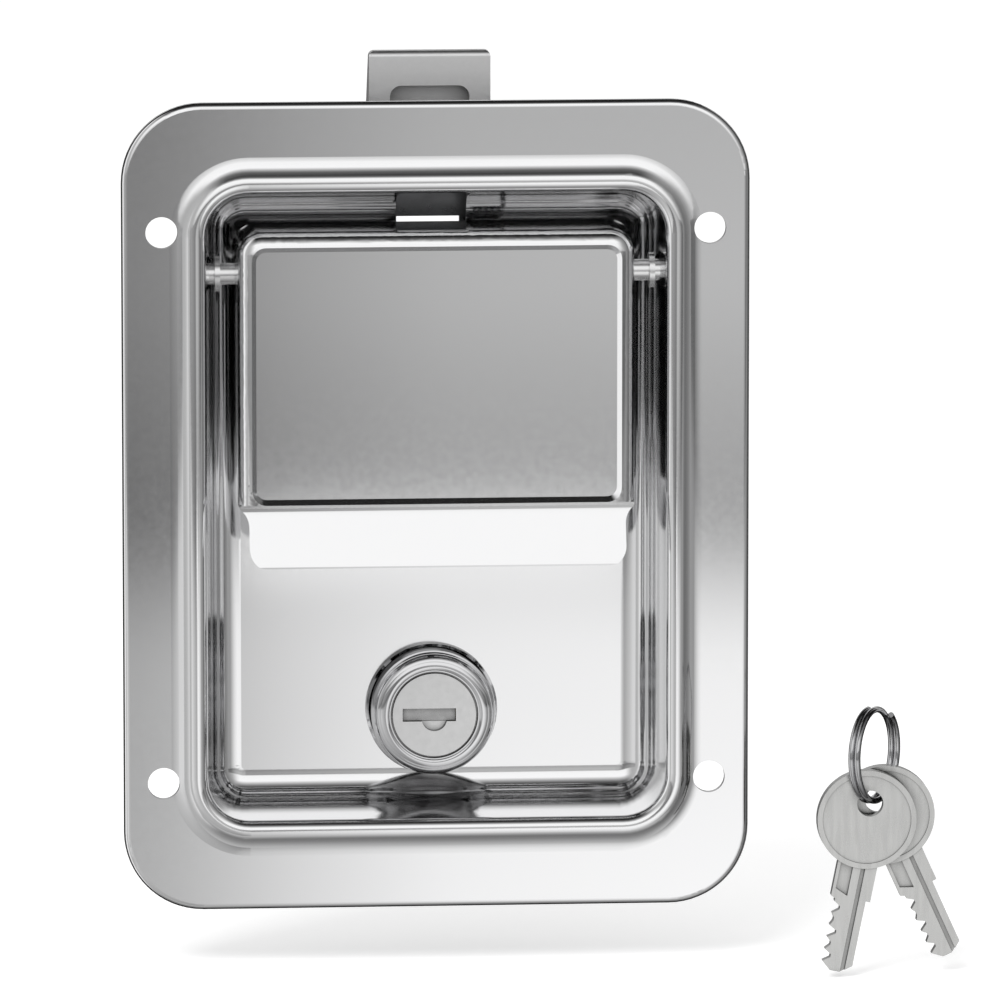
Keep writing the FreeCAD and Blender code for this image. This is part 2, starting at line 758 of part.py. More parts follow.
def make_bolt():
    """The cast bolt: slanted slam face behind, pocket in front, tongue for the slide plate."""
    body = new_body("bolt")
    side = new_sketch(body, "YZ_Plane")
    draw_outline(side, [
        ("bolt_front", "bolt_low"),
        ("slide_y", "bolt_low"),
        ("slide_y", "bolt_step"),
        ("bolt_back", "bolt_step"),
        ("bolt_back", "bolt_top - bolt_ramp"),
        ("bolt_front + bolt_tip", "bolt_top"),
        ("bolt_front", "bolt_top"),
    ])
    pad(body, side, "2 * bolt_half", symmetric=True)
    top = value("bolt_top")
    half = value("bolt_half")
    round_edges(body, "bolt_corner",
                lambda edge: all(near(abs(v.X), half) and near(v.Z, top) for v in edge.Vertexes)
                or all(near(abs(v.X), half) for v in edge.Vertexes)
                and {round(v.Z) for v in edge.Vertexes} == {round(top), round(top - value("bolt_ramp"))})
    front = new_sketch(body, "XZ_Plane", "-bolt_front")
    inner = "bolt_pocket_half - bolt_pocket_corner"
    draw_outline(front, [
        ("bolt_pocket_half", "bolt_low - overcut"),
        ("bolt_pocket_half", "bolt_pocket_top - bolt_pocket_corner"),
        (inner, "bolt_pocket_top"),
        (f"-({inner})", "bolt_pocket_top"),
        ("-bolt_pocket_half", "bolt_pocket_top - bolt_pocket_corner"),
        ("-bolt_pocket_half", "bolt_low - overcut"),
    ], {1: ("bolt_pocket_corner", 1), 3: ("bolt_pocket_corner", 1)})
    pocket(body, front, "bolt_pocket_depth")
    holes = new_sketch(body, "XZ_Plane", "-bolt_front")
    draw_circle(holes, "rivet_offset", "rivet_z", "rivet_radius + running_gap")
    draw_circle(holes, "-rivet_offset", "rivet_z", "rivet_radius + running_gap")
    pocket(body, holes, "bolt_back")
    return body


def make_bolt_rivets():
    """The two rivets that hold the bolt on the slide plate."""
    body = new_body("bolt_rivets", z="rivet_z")
    body.AllowCompound = True
    front = "(bolt_front + bolt_pocket_depth - running_gap)"
    back = "(slide_back + running_gap)"
    for across in ("rivet_offset", "-rivet_offset"):
        for place, radius, length in (
                (f"{front}", "rivet_head_radius", "rivet_head"),
                (back, "rivet_radius", f"{back} - {front}"),
                (f"{back} + rivet_head", "rivet_head_radius", "rivet_head")):
            disc = new_sketch(body, "XZ_Plane", f"-({place})")
            draw_circle(disc, across, "0", radius)
            pad(body, disc, length)
    return body


def make_housing():
    """The folded channel that guides the bolt, spot-welded to the back of the pan."""
    body = new_body("bolt_housing")
    floor = new_sketch(body, "XY_Plane", "housing_low")
    outer = "(channel_half + sheet)"
    wide = f"({outer} + housing_flange)"
    back = "(channel_back + sheet)"
    foot = "(floor_back + running_gap)"
    draw_outline(floor, [
        (wide, foot),
        (wide, f"{foot} + sheet"),
        (outer, f"{foot} + sheet"),
        (outer, back),
        (f"-{outer}", back),
        (f"-{outer}", f"{foot} + sheet"),
        (f"-{wide}", f"{foot} + sheet"),
        (f"-{wide}", foot),
        ("-channel_half", foot),
        ("-channel_half", "channel_back"),
        ("channel_half", "channel_back"),
        ("channel_half", foot),
    ])
    pad(body, floor, "housing_top - housing_low")
    flanges = new_sketch(body, "XZ_Plane", "-floor_centre_y")
    flat_end = "(crest_height / 2 - floor_inset - housing_flange_end)"
    for sign in (1, -1):
        draw_outline(flanges, [
            (f"{sign} * {outer}", flat_end),
            (f"{sign} * ({wide} + overcut)", flat_end),
            (f"{sign} * ({wide} + overcut)", "housing_top + overcut"),
            (f"{sign} * {outer}", "housing_top + overcut"),
        ])
    pocket(body, flanges, "4 * sheet + floor_depth")
    strap = new_sketch(body, "XY_Plane", "strap_low")
    draw_outline(strap, [
        (outer, "strap_back - sheet"),
        (outer, f"{foot} + sheet"),
        ("channel_half", f"{foot} + sheet"),
        ("channel_half", "strap_back"),
        ("-channel_half", "strap_back"),
        ("-channel_half", f"{foot} + sheet"),
        (f"-{outer}", f"{foot} + sheet"),
        (f"-{outer}", "strap_back - sheet"),
    ])
    pad(body, strap, "housing_top - strap_low")
    slots = new_sketch(body, "XZ_Plane", "-channel_back + slide_gap")
    draw_rounded(slots, "slot_half", "pivot_z - lever_swing", "lever_top + lever_room", "housing_slot_corner")
    draw_rounded(slots, "tab_half + tab_side", "tab_z + running_gap", "tab_z + tab_slot",
                 "housing_slot_corner")
    pocket(body, slots, "4 * sheet")
    tab = new_sketch(body, "XY_Plane", "tab_z - sheet")
    draw_box(tab, "tab_half", "tab_front", "channel_back + sheet / 2")
    pad(body, tab, "sheet")
    peg = new_sketch(body, "XY_Plane", "tab_z")
    draw_circle(peg, "0", "spring_y", "peg_half")
    pad(body, peg, "spring_peg")
    return body


def make_bolt_spring():
    """The compression spring that pushes the slide plate and bolt up."""
    body = new_body("bolt_spring", y="spring_y", z="tab_z")
    wire = new_sketch(body, "XZ_Plane")
    draw_circle(wire, "spring_radius", "spring_wire / 2 + running_gap", "spring_wire / 2")
    pitch = "(spring_length - spring_wire - 2 * running_gap) / spring_turns"
    coil(body, wire, "V_Axis", pitch, "spring_turns")
    return body


def make_lock_body():
    """The lock's chromed head and its flatted shell through the floor."""
    body = new_body("lock_body", z="-lock_drop")
    side = new_sketch(body, "YZ_Plane")
    bore = "(plug_face_radius + running_gap)"
    ease = "(lock_front_radius - lock_face_radius)"
    draw_outline(side, [
        ("lock_front", bore),
        ("lock_front", "lock_face_radius"),
        (f"lock_front + {ease}", "lock_front_radius"),
        ("floor_depth - lock_seat", "lock_base_radius"),
        ("floor_depth - lock_seat", "max(lock_seat_radius - lock_seat_edge; lock_base_radius + running_gap)"),
        ("floor_depth - lock_seat + lock_seat_edge", "lock_seat_radius"),
        ("floor_depth - running_gap", "lock_seat_radius"),
        ("floor_depth - running_gap", "lock_shell_radius"),
        ("lock_shell_end", "lock_shell_radius"),
        ("lock_shell_end", "barrel_radius + running_gap"),
        ("plug_shoulder + running_gap", "barrel_radius + running_gap"),
        ("plug_shoulder + running_gap", bore),
    ], {1: (ease, -1)})
    revolve(body, side, "H_Axis")
    flats = new_sketch(body, "XZ_Plane", "-floor_depth")
    for sign in (1, -1):
        draw_outline(flats, [
            (f"{sign} * lock_flat", "-lock_base_radius"),
            (f"{sign} * 2 * lock_base_radius", "-lock_base_radius"),
            (f"{sign} * 2 * lock_base_radius", "lock_base_radius"),
            (f"{sign} * lock_flat", "lock_base_radius"),
        ])
    pocket(body, flats, "lock_shell_end")
    return body


def make_lock_nut():
    """The thin hexagon nut behind the pan."""
    body = new_body("lock_nut", z="-lock_drop")
    face = new_sketch(body, "XZ_Plane", "-(floor_back + running_gap + nut_thickness)")
    radius = "(nut_across / 2 / cos(30))"
    draw_outline(face, [(f"{radius} * cos({angle})", f"{radius} * sin({angle})")
                        for angle in range(0, 360, 60)])
    draw_circle(face, "0", "0", "lock_shell_radius + running_gap")
    pad(body, face, "nut_thickness")
    return body


def make_lock_plug():
    """The turning plug: face with slot and dimple, barrel with wafer slots, square tail for the cam."""
    body = new_body("lock_plug", z="-lock_drop")
    side = new_sketch(body, "YZ_Plane")
    groove = "(plug_face_radius - groove_wide)"
    draw_outline(side, [
        ("plug_front", "0"),
        ("plug_front", f"{groove}"),
        ("plug_front + groove_deep", groove),
        ("plug_front + groove_deep", "plug_face_radius"),
        ("plug_shoulder", "plug_face_radius"),
        ("plug_shoulder", "barrel_radius"),
        ("lock_shell_end", "barrel_radius"),
        ("lock_shell_end", "0"),
    ])
    revolve(body, side, "H_Axis")
    tail = new_sketch(body, "XZ_Plane", "-(cam_back - running_gap)")
    draw_box(tail, "tail_half", "-tail_half", "tail_half")
    pad(body, tail, "cam_back - running_gap - lock_shell_end + slide_gap")
    slot = new_sketch(body, "XZ_Plane", "-plug_front")
    draw_box(slot, "slot_width / 2", "-slot_height / 2", "slot_height / 2", shift="slot_shift")
    pocket(body, slot, "slot_lip + slot_room")
    room = new_sketch(body, "XZ_Plane", "-(plug_front + slot_lip)")
    draw_box(room, "slot_width / 2 + 2 * running_gap", "-slot_height / 2",
             "slot_height / 2 + 3 * shutter_hinge", shift="slot_shift")
    pocket(body, room, "slot_room")
    keyway = new_sketch(body, "XZ_Plane", "-plug_front")
    draw_box(keyway, "keyway_half", "-keyway_half_height", "keyway_half_height")
    pocket(body, keyway, "keyway_end - plug_front")
    dimple = new_sketch(body, "XZ_Plane", "-plug_front")
    draw_outline(dimple, [
        ("dimple_radius", "-slot_height / 2 + running_gap"),
        ("-dimple_radius", "-slot_height / 2 + running_gap"),
    ], {1: ("dimple_radius * 1.02", 1)})
    pocket(body, dimple, "dimple_depth")
    wafers = new_sketch(body, "YZ_Plane")
    draw_outline(wafers, [
        ("wafer_start", "-wafer_half_height - running_gap"),
        ("wafer_start + wafer_thickness + 2 * running_gap", "-wafer_half_height - running_gap"),
        ("wafer_start + wafer_thickness + 2 * running_gap", "wafer_half_height + running_gap"),
        ("wafer_start", "wafer_half_height + running_gap"),
    ])
    cut = pocket(body, wafers, "4 * barrel_radius", symmetric=True)
    repeat_back(body, cut)
    screw_hole = new_sketch(body, "XZ_Plane", "-cam_back")
    draw_circle(screw_hole, "0", "0", "screw_radius + running_gap")
    pocket(body, screw_hole, "screw_length - cam_washer_thickness + slide_gap", backwards=True)
    return body


def repeat_back(body, feature):
    """Repeats a feature along the plug, once for each wafer."""
    pattern = body.newObject("PartDesign::LinearPattern", "LinearPattern")
    pattern.Originals = [feature]
    axis = next(item for item in body.Origin.OriginFeatures if item.Role == "Y_Axis")
    pattern.Direction = (axis, [""])
    pattern.Occurrences = WAFERS
    pattern.setExpression("Length", bound(f"wafer_pitch * {WAFERS - 1}"))
    body.Tip = pattern
    doc.recompute()


def make_plug_wafers():
    """The wafers in the plug, each with a window for the key's blade."""
    body = new_body("plug_wafers", z="-lock_drop")
    body.AllowCompound = True
    wafer = new_sketch(body, "XZ_Plane", "-(wafer_start + running_gap + wafer_thickness)")
    draw_box(wafer, "wafer_half_width", "-wafer_half_height", "wafer_half_height")
    draw_box(wafer, "keyway_half", "-keyway_half_height", "keyway_half_height")
    plate = pad(body, wafer, "wafer_thickness")
    repeat_back(body, plate)
    return body


def make_key_shutter():
    """The small flap behind the keyway slot, hinged along its upper edge."""
    body = new_body("key_shutter", z="-lock_drop")
    side = new_sketch(body, "YZ_Plane")
    hinge_z = "(slot_height / 2 + shutter_hinge + running_gap)"
    draw_outline(side, [
        ("shutter_y", "-slot_height / 2 + 2 * running_gap"),
        ("shutter_y + shutter_thickness", "-slot_height / 2 + 2 * running_gap"),
        ("shutter_y + shutter_thickness", hinge_z),
        ("shutter_y", hinge_z),
    ])
    pad(body, side, "slot_width - 4 * running_gap", symmetric=True)
    hinge = new_sketch(body, "YZ_Plane")
    draw_circle(hinge, "shutter_y + shutter_hinge", hinge_z, "shutter_hinge")
    pad(body, hinge, "slot_width - 4 * running_gap", symmetric=True)
    body.setExpression("Placement.Base.x", bound("slot_shift"))
    return body


def make_lock_cam():
    """The cam on the plug's tail. Turned up, it stands under the slide plate and blocks it."""
    body = new_body("lock_cam", z="-lock_drop")
    face = new_sketch(body, "XZ_Plane", "-cam_back")
    hub = "cam_hub"
    join = f"sqrt({hub} ^ 2 - cam_half ^ 2)"
    draw_outline(face, [
        ("cam_reach - cam_half", "-cam_half"),
        ("cam_reach - cam_half", "cam_half"),
        (join, "cam_half"),
        (f"-{hub}", "0"),
        (join, "-cam_half"),
    ], {0: ("cam_half * 1.001", 1), 2: (hub, 1), 3: (hub, 1)})
    draw_box(face, "tail_half + running_gap", "-tail_half - running_gap", "tail_half + running_gap")
    pad(body, face, "cam_thickness - running_gap")
    return body


def make_cam_washer():
    """The washer under the cam screw's head."""
    body = new_body("cam_washer", z="-lock_drop")
    ring = new_sketch(body, "XZ_Plane", "-washer_back")
    draw_circle(ring, "0", "0", "cam_washer_radius")
    draw_circle(ring, "0", "0", "screw_radius + 2 * running_gap")
    pad(body, ring, "cam_washer_thickness - running_gap")
    return body


def make_cam_screw():
    """The screw that holds the cam, with a hexagon recess in its head."""
    body = new_body("cam_screw", z="-lock_drop")
    side = new_sketch(body, "YZ_Plane")
    head = "(washer_back + running_gap)"
    draw_outline(side, [
        (f"{head} - screw_length", "0"),
        (f"{head} - screw_length", "screw_radius"),
        (head, "screw_radius"),
        (head, "screw_head_radius"),
        (f"{head} + screw_head / 2", "screw_head_radius"),
        (f"{head} + screw_head", "screw_head_face"),
        (f"{head} + screw_head", "0"),
    ])
    revolve(body, side, "H_Axis")
    recess = new_sketch(body, "XZ_Plane", f"-({head} + screw_head)")
    draw_outline(recess, [(f"screw_radius * cos({angle})", f"screw_radius * sin({angle})")
                          for angle in range(0, 360, 60)])
    pocket(body, recess, "screw_recess", backwards=True)
    return body


def make_key_ring():
    """The split ring: two turns of wire that pass through both bows."""
    body = new_body("key_ring", x="key_x", y="key_y", z="ring_centre_z")
    body.setExpression("Placement.Rotation.Angle", bound("ring_yaw"))
    wire = new_sketch(body, "XZ_Plane")
    draw_circle(wire, "-ring_pitch * ring_turns / 2", "ring_radius", "ring_wire / 2")
    coil(body, wire, "H_Axis", "ring_pitch", "ring_turns")
    return body


def make_key(label, lean, side):
    """A flat key that hangs on the ring: round bow with a raised rim, shank, milled blade with bitting."""
    body = new_body(label, x=f"key_x + {side} * key_side", y=f"key_y + {side} * key_spacing / 2",
                    z=f"ring_low - key_hang + {side} * key_hang / 2")
    body.Placement.Rotation = FreeCAD.Rotation(FreeCAD.Vector(0, 1, 0), 0)
    body.setExpression("Placement.Rotation.Angle", bound(f"-({lean})"))
    outline = new_sketch(body, "XZ_Plane")
    root_z = "(-bow_drop - sqrt(bow_radius ^ 2 - shank_half ^ 2) + mill_depth)"
    shoulder_z = "(-shoulder_drop)"
    end_z = "(-key_drop)"
    pitch = f"(({shoulder_z} - {end_z} - key_tip - bitting_start) / {len(BITTING)})"
    corners = [
        ("shank_half", root_z),
        ("-shank_half", root_z),
        ("-shank_half", shoulder_z),
        ("-blade_half", f"{shoulder_z} - shoulder_ease"),
    ]
    for number, depth in enumerate(BITTING):
        cut = f"blade_half * {depth}"
        top = f"{shoulder_z} - bitting_start - {number} * {pitch}"
        corners += [
            ("-blade_half", top),
            (f"-blade_half + {cut}", f"{top} - {pitch} * 0.35"),
            (f"-blade_half + {cut}", f"{top} - {pitch} * 0.6"),
        ]
    corners += [
        ("-blade_half", f"{end_z} + key_tip"),
        ("-blade_half * 0.4", end_z),
        ("blade_half * 0.3", end_z),
        ("blade_half", f"{end_z} + key_tip"),
        ("blade_half", shoulder_z),
        ("shank_half", shoulder_z),
    ]
    draw_outline(outline, corners)
    pad(body, outline, "key_thickness", symmetric=True)
    bow = new_sketch(body, "XZ_Plane")
    draw_circle(bow, "0", "-bow_drop", "bow_radius")
    pad(body, bow, "key_thickness", symmetric=True)
    rim = new_sketch(body, "XZ_Plane")
    draw_circle(rim, "0", "-bow_drop", "bow_radius")
    draw_circle(rim, "0", "-bow_drop", "bow_radius - bow_rim")
    pad(body, rim, "key_thickness + 2 * bow_rim_rise", symmetric=True)
    hole = new_sketch(body, "XZ_Plane")
    draw_circle(hole, "0", "0", "key_hole_radius")
    pocket(body, hole, "4 * key_thickness", symmetric=True)
    milled = new_sketch(body, "XZ_Plane", "key_thickness / 2")
    draw_outline(milled, [
        ("-shank_half * 0.2", f"{root_z} - mill_end / 2"),
        ("-shank_half * 0.85", f"{root_z} - mill_end / 2"),
        ("-shank_half * 0.85", f"{shoulder_z} + mill_end"),
        ("-shank_half * 0.2", f"{shoulder_z} + shoulder_ease"),
    ])
    draw_outline(milled, [
        ("blade_half * 0.55", f"{root_z} - mill_end / 2"),
        ("blade_half * 0.25", f"{root_z} - mill_end / 2"),
        ("blade_half * 0.25", f"{end_z} - overcut"),
        ("blade_half * 0.55", f"{end_z} - overcut"),
    ])
    pocket(body, milled, "mill_depth")
    return body


def make_all():
    """Every piece of the latch, in the order of its assembly."""
    return [
        make_dish(),
        make_paddle(),
        make_lever(),
        make_pivot_pin(),
        make_pin_washer("pin_washer_left", -1),
        make_pin_washer("pin_washer_right", 1),
        make_paddle_spring(),
        make_housing(),
        make_slide_plate(),
        make_bolt(),
        make_bolt_rivets(),
        make_bolt_spring(),
        make_lock_body(),
        make_lock_nut(),
        make_lock_plug(),
        make_plug_wafers(),
        make_key_shutter(),
        make_lock_cam(),
        make_cam_washer(),
        make_cam_screw(),
        make_key_ring(),
        make_key("key_front", "front_lean", -1),
        make_key("key_rear", "rear_lean", 1),
    ]


pieces = make_all()
doc.recompute()
for item in doc.Objects:
    if "Invalid" in item.State or "Error" in item.State:
        raise RuntimeError(f"{item.Name} of {item.Label} failed: {item.State}")
os.makedirs("parts", exist_ok=True)
for piece in pieces:
    shape = piece.Shape
    if shape.isNull() or not shape.isValid():
        raise RuntimeError(f"{piece.Label} has no valid shape")
    shape.exportStep(os.path.join("parts", f"{piece.Label}.step"))
    box = shape.BoundBox
    print(f"{piece.Label}: {len(shape.Solids)} solid, volume {shape.Volume:.1f}, "
          f"x {box.XMin:.1f} to {box.XMax:.1f}, y {box.YMin:.1f} to {box.YMax:.1f}, "
          f"z {box.ZMin:.1f} to {box.ZMax:.1f}")
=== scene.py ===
"""Looks of the paddle latch: polished dish and paddle, chromed lock, bolt, keys, studio and camera."""
import math

import bmesh
import bpy
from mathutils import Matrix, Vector


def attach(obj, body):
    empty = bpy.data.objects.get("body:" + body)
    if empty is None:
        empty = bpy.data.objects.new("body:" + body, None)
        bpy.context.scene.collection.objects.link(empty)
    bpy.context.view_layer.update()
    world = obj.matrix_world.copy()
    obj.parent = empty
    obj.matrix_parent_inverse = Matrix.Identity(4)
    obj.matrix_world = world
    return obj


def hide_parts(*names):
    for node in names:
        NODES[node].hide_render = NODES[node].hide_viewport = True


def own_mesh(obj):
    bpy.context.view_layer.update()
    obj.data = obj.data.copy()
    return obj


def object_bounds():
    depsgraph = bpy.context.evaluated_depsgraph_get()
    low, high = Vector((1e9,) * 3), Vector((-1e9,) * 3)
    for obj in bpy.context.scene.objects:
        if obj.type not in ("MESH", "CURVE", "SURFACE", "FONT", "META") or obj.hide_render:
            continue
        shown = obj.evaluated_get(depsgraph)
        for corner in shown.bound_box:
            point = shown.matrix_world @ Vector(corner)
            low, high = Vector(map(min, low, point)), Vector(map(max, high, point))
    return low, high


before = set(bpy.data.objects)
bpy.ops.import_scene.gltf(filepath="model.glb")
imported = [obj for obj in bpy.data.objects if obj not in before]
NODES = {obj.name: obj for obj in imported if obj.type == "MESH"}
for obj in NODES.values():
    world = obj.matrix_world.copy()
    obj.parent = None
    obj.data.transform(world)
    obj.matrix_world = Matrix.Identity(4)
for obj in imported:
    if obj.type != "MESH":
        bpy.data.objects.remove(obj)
cad_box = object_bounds()
scene = bpy.context.scene
MM = 0.001


# Materials

NOISE_DETAIL = 4
NOISE_RANGE = (0.3, 0.7)
LEAST_ROUGHNESS = 0.01
BUMP_DEPTH = 0.02 * MM
# Samples of the ambient occlusion that paints shade into hollows.
SHADE_SAMPLES = 8


def new_material(name):
    """A new material, and its tree's nodes and links."""
    material = bpy.data.materials.new(name)
    material.use_nodes = True
    return material, material.node_tree.nodes, material.node_tree.links


def metal(name, colour, roughness, grain_scale, stretch=(1, 1, 1), spread=0.0, bump=0.0, tint=0.0,
          painted_shade_reach=0.0):
    """A bare or plated metal. A fine noise, stretched or even, varies its roughness by the spread, its
    colour by the tint and its surface by the bump. Hollows narrower than a distance get painted shade."""
    material, nodes, links = new_material(name)
    shader = nodes["Principled BSDF"]
    shader.inputs["Metallic"].default_value = 1.0
    shader.inputs["Base Color"].default_value = (*colour, 1)
    shader.inputs["Roughness"].default_value = roughness
    place = nodes.new("ShaderNodeTexCoord")
    turn = nodes.new("ShaderNodeMapping")
    turn.inputs["Scale"].default_value = stretch
    links.new(place.outputs["Object"], turn.inputs["Vector"])
    noise = nodes.new("ShaderNodeTexNoise")
    noise.inputs["Scale"].default_value = grain_scale
    noise.inputs["Detail"].default_value = NOISE_DETAIL
    links.new(turn.outputs["Vector"], noise.inputs["Vector"])
    if spread:
        ramp = nodes.new("ShaderNodeMapRange")
        ramp.inputs["From Min"].default_value = NOISE_RANGE[0]
        ramp.inputs["From Max"].default_value = NOISE_RANGE[1]
        ramp.inputs["To Min"].default_value = max(roughness - spread, LEAST_ROUGHNESS)
        ramp.inputs["To Max"].default_value = roughness + spread
        links.new(noise.outputs["Fac"], ramp.inputs["Value"])
        links.new(ramp.outputs["Result"], shader.inputs["Roughness"])
    if tint:
        shade = nodes.new("ShaderNodeMix")
        shade.data_type = "RGBA"
        shade.inputs["A"].default_value = (*[c * (1 - tint) for c in colour], 1)
        shade.inputs["B"].default_value = (*[min(c * (1 + tint), 1) for c in colour], 1)
        links.new(noise.outputs["Fac"], shade.inputs["Factor"])
        links.new(shade.outputs["Result"], shader.inputs["Base Color"])
    # Painted shade: ambient occlusion darkens the base colour in hollows narrower than the reach.
    if painted_shade_reach:
        near = nodes.new("ShaderNodeAmbientOcclusion")
        near.inputs["Distance"].default_value = painted_shade_reach
        near.samples = SHADE_SAMPLES
        shade_hollows = nodes.new("ShaderNodeMix")
        shade_hollows.data_type = "RGBA"
        shade_hollows.blend_type = "MULTIPLY"
        shade_hollows.inputs["Factor"].default_value = 1.0
        if tint:
            links.new(shade.outputs["Result"], shade_hollows.inputs["A"])
        else:
            shade_hollows.inputs["A"].default_value = (*colour, 1)
        links.new(near.outputs["Color"], shade_hollows.inputs["B"])
        links.new(shade_hollows.outputs["Result"], shader.inputs["Base Color"])
    if bump:
        raise_up = nodes.new("ShaderNodeBump")
        raise_up.inputs["Strength"].default_value = bump
        raise_up.inputs["Distance"].default_value = BUMP_DEPTH
        links.new(noise.outputs["Fac"], raise_up.inputs["Height"])
        links.new(raise_up.outputs["Normal"], shader.inputs["Normal"])
    return material


# Each hollow distance below paints shade into that metal's hollows, as ambient occlusion on its colour.
POLISHED = metal("polished_stainless", (0.90, 0.90, 0.905), 0.10, grain_scale=900, spread=0.012,
                 tint=0.012)
ZINC = metal("zinc_steel", (0.50, 0.505, 0.52), 0.34, grain_scale=500, spread=0.08, tint=0.06, bump=0.1,
             painted_shade_reach=14 * MM)
PIN = metal("pin_steel", (0.80, 0.80, 0.80), 0.22, grain_scale=900, stretch=(0.05, 1, 1), spread=0.05,
            bump=0.1)
SPRING = metal("spring_steel", (0.42, 0.42, 0.43), 0.28, grain_scale=700, spread=0.05, tint=0.05)
CAST = metal("cast_steel", (0.90, 0.90, 0.90), 0.42, grain_scale=1500, spread=0.05, tint=0.04, bump=0.2,
             painted_shade_reach=5 * MM)
CHROME = metal("lock_chrome", (0.74, 0.74, 0.75), 0.06, grain_scale=600, spread=0.01,
               painted_shade_reach=11 * MM)
FACE = metal("lock_face", (0.74, 0.74, 0.74), 0.24, grain_scale=900, spread=0.03, tint=0.02, bump=0.04,
             painted_shade_reach=1.2 * MM)
BRASS = metal("wafer_brass", (0.75, 0.58, 0.27), 0.3, grain_scale=500, spread=0.06, tint=0.06)
SHUTTER = metal("shutter_steel", (0.46, 0.46, 0.46), 0.28, grain_scale=900, spread=0.05, bump=0.1,
                painted_shade_reach=1.0 * MM)
RING = metal("ring_steel", (0.60, 0.60, 0.61), 0.1, grain_scale=600, spread=0.02)
NICKEL = metal("key_nickel", (0.62, 0.62, 0.61), 0.26, grain_scale=1100, stretch=(1, 1, 0.12),
               spread=0.05, tint=0.03, bump=0.12, painted_shade_reach=2 * MM)

FINISH = {
    "dish_plate": POLISHED, "paddle": POLISHED, "paddle_lever": ZINC, "pivot_pin": PIN,
    "pin_washer_left": PIN, "pin_washer_right": PIN, "paddle_spring": SPRING, "bolt_housing": ZINC,
    "slide_plate": ZINC, "bolt": CAST, "bolt_rivets": ZINC, "bolt_spring": SPRING,
    "lock_body": CHROME, "lock_nut": ZINC, "lock_plug": FACE, "plug_wafers": BRASS,
    "key_shutter": SHUTTER, "lock_cam": ZINC, "cam_washer": ZINC, "cam_screw": ZINC,
    "key_ring": RING, "key_front": NICKEL, "key_rear": NICKEL,
}


def dress(piece, material):
    """Gives the piece one material, and no other."""
    piece.data.materials.clear()
    piece.data.materials.append(material)


for name, finish in FINISH.items():
    dress(NODES[name], finish)


# Shapes

# The paddle's side rolls in the solid: the centre in X and Y, and the radius.
SIDE_CENTRE = (31.3 * MM, -3.6 * MM)
SIDE_ROLL = 3.2 * MM
# How near to the roll a point lies that belongs to it.
SIDE_MATCH = 0.12 * MM
# The tighter rolls beside the face. The border up to them is flat.
TIGHT_CENTRE = (33.37 * MM, -5.8 * MM)
TIGHT_ROLL = 1.0 * MM
BORDER_EDGE = 32.1 * MM
ROLL_END = math.radians(86)
# Heights between which the tighter rolls fade out, towards the top and towards the lip.
BLEND_UP = (38 * MM, 45 * MM)
BLEND_DOWN = (1.5 * MM, -1.0 * MM)
# Points this near are one, and edges this steep are sharp.
WELD = 0.002 * MM
SHARP = math.radians(30)

# The lock's shoulder: radii, depths from the panel's plane and fineness.
LOCK_Z = -38.0 * MM
BEZEL_HOLE = 7.95 * MM
BEZEL_EDGE = 0.2 * MM
BEZEL_CROWN = 8.6 * MM
BEZEL_SIDE = 11.0 * MM
BEZEL_FRONT = 4.0 * MM
BEZEL_DEPTH = 3.2 * MM
BEZEL_STEPS = 16
BEZEL_TURNS = 96


def eased(value, start, end):
    """0 before the start, 1 after the end, and a smooth rise between."""
    share = min(max((value - start) / (end - start), 0), 1)
    return share * share * (3 - 2 * share)


def add_piece(name, mesh):
    """A piece of the scene with the mesh."""
    piece = bpy.data.objects.new(name, mesh)
    scene.collection.objects.link(piece)
    return piece


def smooth_again(piece):
    """Welds the mesh, marks its sharp edges and lets large faces lead the normals."""
    mesh = piece.data
    custom = mesh.attributes.get("custom_normal")
    if custom:
        mesh.attributes.remove(custom)
    work = bmesh.new()
    work.from_mesh(mesh)
    bmesh.ops.remove_doubles(work, verts=work.verts, dist=WELD)
    for edge in work.edges:
        edge.smooth = len(edge.link_faces) == 2 and edge.calc_face_angle(0) < SHARP
    for face in work.faces:
        face.smooth = True
    work.to_mesh(mesh)
    work.free()
    lead = piece.modifiers.new("even_normals", "WEIGHTED_NORMAL")
    lead.keep_sharp = True


def make_paddle():
    """The paddle with flat borders beside its face and tighter side rolls, which fade out up and down."""
    mesh = NODES["paddle"].data.copy()
    piece = add_piece("paddle_dressed", mesh)
    first = math.asin((BORDER_EDGE - SIDE_CENTRE[0]) / SIDE_ROLL)
    for vertex in mesh.vertices:
        x, y, z = vertex.co
        across = abs(x) - SIDE_CENTRE[0]
        deep = SIDE_CENTRE[1] - y
        if across <= 0 or deep <= 0 or abs(math.hypot(across, deep) - SIDE_ROLL) >= SIDE_MATCH:
            continue
        angle = math.atan2(across, deep)
        if angle <= first:
            place = (abs(x), TIGHT_CENTRE[1] - TIGHT_ROLL)
        else:
            turned = (angle - first) / (ROLL_END - first) * ROLL_END
            place = (TIGHT_CENTRE[0] + TIGHT_ROLL * math.sin(turned),
                     TIGHT_CENTRE[1] - TIGHT_ROLL * math.cos(turned))
        share = (1 - eased(z, *BLEND_UP)) * (1 - eased(z, *BLEND_DOWN))
        vertex.co.x = math.copysign(abs(x) + (place[0] - abs(x)) * share, x)
        vertex.co.y = y + (place[1] - y) * share
    smooth_again(piece)
    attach(piece, "lift_paddle")
    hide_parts("paddle")


